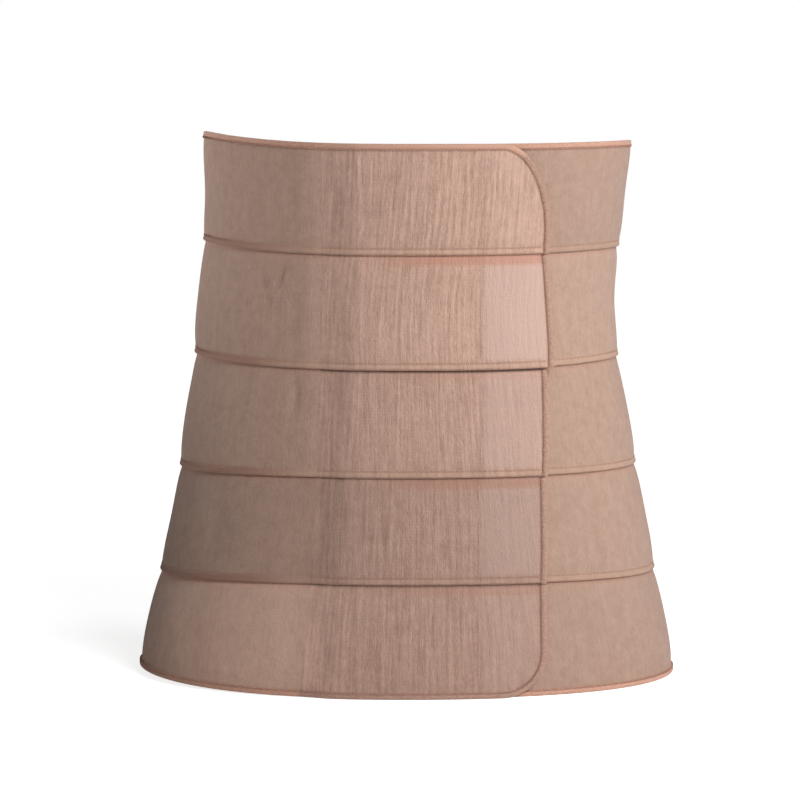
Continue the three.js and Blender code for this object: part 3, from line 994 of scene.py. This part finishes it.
def edge_path(name, stops, off, number, inward=0.0, out=0.0):
    """A path a distance in from an edge and out of the inner face of a band or front panel."""
    def point(distance):
        turn, z = in_from_edge(stops, distance)
        return place(turn, z, off(number, turn, z) + out)

    way_in = unit(point(inward + 0.5 * FOLD_REACH) - point(inward - 0.5 * FOLD_REACH))
    way_out = square_to(outward(*in_from_edge(stops, inward)), way_in)
    return path_object(name, point(inward), way_in, way_out)


# %% Trees: a new tree, and running it
def new_tree(name, sockets):
    """An empty Geometry Nodes tree with a path as input, named sizes, and a geometry as output."""
    tree = bpy.data.node_groups.new(name, "GeometryNodeTree")
    tree.interface.new_socket("Path", in_out="INPUT", socket_type="NodeSocketGeometry")
    for label, kind in sockets.items():
        tree.interface.new_socket(label, in_out="INPUT", socket_type=f"NodeSocket{kind}")
    tree.interface.new_socket("Geometry", in_out="OUTPUT", socket_type="NodeSocketGeometry")
    return tree, tree.nodes.new("NodeGroupInput"), tree.nodes.new("NodeGroupOutput")


def way_at(tree, name):
    """The socket of a direction that the path's points know."""
    inputs = {"Name": name}
    return add_node(tree, "GeometryNodeInputNamedAttribute", inputs, data_type="FLOAT_VECTOR").outputs[0]


def curve_of(tree, mesh):
    """The socket of a mesh's edges as a curve."""
    return add_node(tree, "GeometryNodeMeshToCurve", {"Mesh": mesh}).outputs[0]


def finish_tree(tree, curve, section, material, group_out):
    """Sweeps a section along a curve and gives the result its material, at the end of a tree."""
    inputs = {"Curve": curve, "Profile Curve": section, "Fill Caps": True}
    made = add_node(tree, "GeometryNodeCurveToMesh", inputs).outputs[0]
    made = add_node(tree, "GeometryNodeSetShadeSmooth", {"Geometry": made}).outputs[0]
    made = add_node(tree, "GeometryNodeRealizeInstances", {"Geometry": made}).outputs[0]
    made = add_node(tree, "GeometryNodeSetMaterial", {"Geometry": made, "Material": material}).outputs[0]
    tree.links.new(made, group_out.inputs[0])
    print("nodes in the tree", tree.name, len(tree.nodes))


def turn_outside(mesh):
    """Merges a closed mesh's doubles and turns its faces outwards."""
    work = bmesh.new()
    work.from_mesh(mesh)
    bmesh.ops.remove_doubles(work, verts=work.verts, dist=1e-7)
    bmesh.ops.recalc_face_normals(work, faces=work.faces)
    if work.calc_volume(signed=True) < 0:
        bmesh.ops.reverse_faces(work, faces=work.faces)
    work.to_mesh(mesh)
    work.free()
    mesh.set_sharp_from_angle(angle=SHARP_EDGE)


def run_tree(path, tree, sizes, name):
    """Runs a tree on a path and keeps the result as a plain mesh in the path's place."""
    modifier = path.modifiers.new("path", "NODES")
    modifier.node_group = tree
    for item in tree.interface.items_tree:
        if item.in_out == "INPUT" and item.name in sizes:
            modifier[item.identifier] = sizes[item.name]
    evaluated = path.evaluated_get(bpy.context.evaluated_depsgraph_get())
    mesh = bpy.data.meshes.new_from_object(evaluated)
    mesh.name = name
    bpy.data.objects.remove(path)
    for attribute in [a.name for a in mesh.attributes if a.name in ("inward", "out")]:
        mesh.attributes.remove(mesh.attributes[attribute])
    turn_outside(mesh)
    return new_object(name, mesh)


# %% The folded tape's section
SNUG = 0.00005
LIP_WALL = 0.00015
LIP_EDGE = 0.0006
LIP_SLOPE = 0.0016
OUTER_BEND = 0.0012
INNER_BEND = 0.0005


def fold_section():
    """The fold as a closed line of points: how far in from the cloth's edge, and out of its inner face."""
    lip, nose, top, bottom = FOLD_REACH, -TUCK, CLOTH_WALL + TUCK, -TUCK
    inner_nose, inner_top, inner_bottom = -CLEARANCE, CLOTH_WALL + SNUG, -SNUG
    wide, tight = OUTER_BEND, INNER_BEND
    bend = [(1 - np.sin(angle), 1 - np.cos(angle)) for angle in np.linspace(0, np.pi / 2, 5)]
    points = [(lip, inner_top + LIP_WALL), (lip - LIP_EDGE, inner_top + 2 * LIP_WALL), (lip - LIP_SLOPE, top)]
    points += [(nose + wide * a, top - wide * b) for a, b in bend]
    points += [(nose + wide * b, bottom + wide * a) for a, b in bend]
    points += [(lip - LIP_EDGE, bottom), (lip, inner_bottom - LIP_WALL), (lip, inner_bottom)]
    points += [(inner_nose + tight * a, inner_bottom + tight * b) for a, b in bend]
    points += [(inner_nose + tight * b, inner_top - tight * a) for a, b in bend]
    return points + [(lip, inner_top)]


section_mesh = bpy.data.meshes.new("fold_section")
section_points = [(out, inward, 0) for inward, out in fold_section()]
section_edges = [(i, (i + 1) % len(section_points)) for i in range(len(section_points))]
section_mesh.from_pydata(section_points, section_edges, [])
section = new_object("fold_section", section_mesh)
print("points round the fold:", len(section_points))

# %% The folded tape's tree
tape_tree, tape_in, tape_out = new_tree("folded_tape", {"Section": "Object", "Finish": "Material"})
inputs = {"Curve": curve_of(tape_tree, tape_in.outputs["Path"]), "Normal": way_at(tape_tree, "out")}
turned = add_node(tape_tree, "GeometryNodeSetCurveNormal", inputs, mode="FREE").outputs[0]
fold = add_node(tape_tree, "GeometryNodeObjectInfo", {"Object": tape_in.outputs["Section"]})
fold_curve = curve_of(tape_tree, fold.outputs["Geometry"])
finish_tree(tape_tree, turned, fold_curve, tape_in.outputs["Finish"], tape_out)

BOUND_EDGES = {
    "top_binding": (band_edge(1), layer, 1, edge_tape, "band_cloth_1"),
    "bottom_binding": (band_edge(BAND_COUNT), layer, BAND_COUNT, edge_tape, "floor"),
}
for number in NUMBERS:
    edging = (flap_edge(number), flap_layer, number, flap_tape, f"flap_cloth_{number}")
    BOUND_EDGES[f"flap_edging_{number}"] = edging

for node, (stops, off, number, tape, held_by) in BOUND_EDGES.items():
    path = edge_path(f"{node}_path", stops, off, number)
    piece = run_tree(path, tape_tree, {"Section": section, "Finish": tape}, f"{node}_tape")
    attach(piece, "root")
    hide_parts(node)
    edge_points = place(stops[0], stops[1], 0 * stops[0])
    length = float(np.sum(np.linalg.norm(np.diff(edge_points, axis=0), axis=1)))
    print(piece.name, "is", round(length, 3), "m long with", len(piece.data.polygons), "faces")
bpy.data.objects.remove(section)

# %% [markdown]
# ## Stitches
# Each seam and each binding is sewn with a zigzag, which lets elastic stretch. A thread is a curve that
# swings from side to side and dives into the cloth at every turn. The tree resamples the path into four
# points to a stitch, moves them with the sine and cosine of their number, and sweeps a small circle along.
# With no width the same tree sews the straight line at the hook tape.

# %% The thread's tree
THREAD_LIFT, THREAD_DIVE = 1.1, -0.6
LABELS = ("Stitch Length", "Stitch Width", "Thread")

sewing, sewing_in, sewing_out = new_tree("sewing", {**dict.fromkeys(LABELS, "Float"), "Finish": "Material"})
stitch_length, stitch_width, thread_width = (sewing_in.outputs[label] for label in LABELS)
inputs = {"Curve": curve_of(sewing, sewing_in.outputs["Path"]), "Length": times(sewing, stitch_length, 0.25)}
dense = add_node(sewing, "GeometryNodeResampleCurve", inputs, mode="LENGTH").outputs[0]

phase = times(sewing, add_node(sewing, "GeometryNodeInputIndex").outputs[0], np.pi / 2)
swing = times(sewing, calculate(sewing, "COSINE", phase), 0.5)
raised = calculate(sewing, "ABSOLUTE", calculate(sewing, "SINE", phase))
lift = sum_of(sewing, times(sewing, raised, THREAD_LIFT), THREAD_DIVE)
side_move = scaled(sewing, way_at(sewing, "inward"), times(sewing, swing, stitch_width))
out_move = scaled(sewing, way_at(sewing, "out"), times(sewing, lift, thread_width))
move = add_node(sewing, "ShaderNodeVectorMath", {0: side_move, 1: out_move}, operation="ADD").outputs[0]

sewn = add_node(sewing, "GeometryNodeSetPosition", {"Geometry": dense, "Offset": move}).outputs[0]
inputs = {"Resolution": 6, "Radius": times(sewing, thread_width, 0.5)}
circle = add_node(sewing, "GeometryNodeCurvePrimitiveCircle", inputs).outputs[0]
finish_tree(sewing, sewn, circle, sewing_in.outputs["Finish"], sewing_out)


# %% Sew the bindings
def sew(name, path, sizes, thread):
    """One line of stitches as a piece."""
    piece = run_tree(path, sewing, {**sizes, "Finish": thread}, name)
    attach(piece, "root")
    print(piece.name, "has", len(piece.data.polygons), "faces")


ZIGZAG = {"Stitch Length": 0.0026, "Stitch Width": 0.0017, "Thread": 0.00045}
FROM_EDGE, OUT_OF_TAPE = FOLD_REACH - LIP_EDGE, CLOTH_WALL + TUCK

for node, (stops, off, number, tape, held_by) in BOUND_EDGES.items():
    path = edge_path(f"{node}_stitches", stops, off, number, inward=FROM_EDGE, out=OUT_OF_TAPE)
    sew(f"{node}_thread", path, ZIGZAG, edge_thread)

# %% Sew the seams
SEAM_ZIGZAG = {"Stitch Length": 0.0030, "Stitch Width": 0.0026, "Thread": 0.00045}
END_MARGIN = BINDING_WIDTH + 0.001
BAND_SEAM_STOPS, FLAP_SEAM_STOPS = 900, 300


def surface_path(name, turn, z, face, number):
    """A path on a band's or front panel's outer face."""
    def point(rise):
        return place(turn, z + rise, face(number, turn, z + rise)[0])

    way_up = unit(point(0.0005) - point(-0.0005))
    return path_object(name, point(0), way_up, square_to(outward(turn, z), way_up))


def stitch_height(number):
    """The function that gives the height of a seam's stitches at a turn."""
    return lambda turn: edge_height(number, turn) + STITCH_RISE


for number in range(1, BAND_COUNT):
    heights = stitch_height(number)
    turn = np.linspace(*band_ends(heights), BAND_SEAM_STOPS)
    path = surface_path("seam", turn, heights(turn), band_face, number)
    sew(f"band_seam_{number}", path, SEAM_ZIGZAG, band_thread)
    turn = np.linspace(*flap_ends(number, heights, END_MARGIN), FLAP_SEAM_STOPS)
    path = surface_path("seam", turn, heights(turn), flap_face, number)
    sew(f"flap_seam_{number}", path, SEAM_ZIGZAG, seam_thread)

# %% Sew the hook tape
STRAIGHT = {"Stitch Length": 0.0052, "Stitch Width": 0.0, "Thread": 0.0005}
HOOK_STITCH_INSET = 0.0018
ABOVE_EDGE, BELOW_SEAM = 0.008, 0.005
HOOK_STOPS = 60

for number in NUMBERS:
    lowest, highest = band_span(number, 0.0)
    top = min(highest, HEIGHT * EDGES["front"][number - 1]) - BELOW_SEAM
    z = np.linspace(lowest + ABOVE_EDGE, top, HOOK_STOPS)
    turn = turn_at(hook_starts[number - 1] + HOOK_STITCH_INSET + 0 * z, z, FLAP_RISE)
    path = surface_path("hook", turn, z, flap_face, number)
    sew(f"hook_stitches_{number}", path, STRAIGHT, hook_thread)

# %% Hook tape keeps its frame solids
for number in NUMBERS:
    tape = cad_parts[f"hook_tape_{number}"]
    tape.data.materials.clear()
    tape.data.materials.append(hook_fibre)
